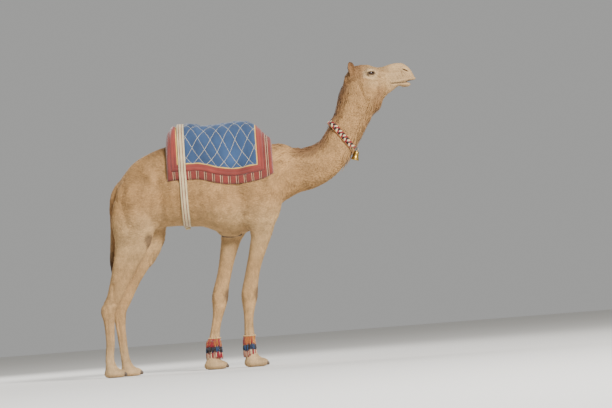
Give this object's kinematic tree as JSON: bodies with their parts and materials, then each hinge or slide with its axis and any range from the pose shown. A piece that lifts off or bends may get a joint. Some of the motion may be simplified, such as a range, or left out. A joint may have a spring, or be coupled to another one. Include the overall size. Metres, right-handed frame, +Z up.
{
  "type": "dromedary camel",
  "caption": "Life-size standing dromedary camel, a still museum-style model with a saddle pad and quilt, girth, neck band with a brass bell, and fringed anklets.",
  "frame": {"origin": "on the floor under the middle of the bounding box", "axes": "+X towards the head, +Y to the animal's left, +Z up"},
  "size_m": [2.8141, 0.5954, 2.512],
  "materials": {
    "coat": "short sandy camel hair, darker on the hump, nape and tail tuft",
    "horn": "dull grey-brown horn of nails and callosity",
    "eye": "moist dark brown",
    "saddle_canvas": "faded brick-red woven canvas",
    "quilt": "quilted indigo cotton",
    "webbing": "undyed woven cotton webbing",
    "wool": "twisted madder-red wool, fringed",
    "brass": "cast brass, worn and lightly tarnished"
  },
  "bodies": {
    "root": {"trunk": "coat", "neck_lower": "coat", "neck_upper": "coat", "head": "coat", "ear_right": "coat", "ear_left": "coat", "tail": "coat", "fore_right_upper": "coat", "fore_right_cannon": "coat", "fore_right_foot": "coat", "fore_right_nail_inner": "horn", "fore_right_nail_outer": "horn", "fore_left_upper": "coat", "fore_left_cannon": "coat", "fore_left_foot": "coat", "fore_left_nail_inner": "horn", "fore_left_nail_outer": "horn", "hind_right_upper": "coat", "hind_right_cannon": "coat", "hind_right_foot": "coat", "hind_right_nail_inner": "horn", "hind_right_nail_outer": "horn", "hind_left_upper": "coat", "hind_left_cannon": "coat", "hind_left_foot": "coat", "hind_left_nail_inner": "horn", "hind_left_nail_outer": "horn", "brisket_pad": "horn", "eye_right": "eye", "anklet_right": "wool", "eye_left": "eye", "anklet_left": "wool", "saddle_pad": "saddle_canvas", "saddle_quilt": "quilt", "girth": "webbing", "girth_knot": "webbing", "neck_band": "wool", "bell": "brass", "bell_ring": "brass", "bell_clapper": "brass"}
  },
  "joints": []
}
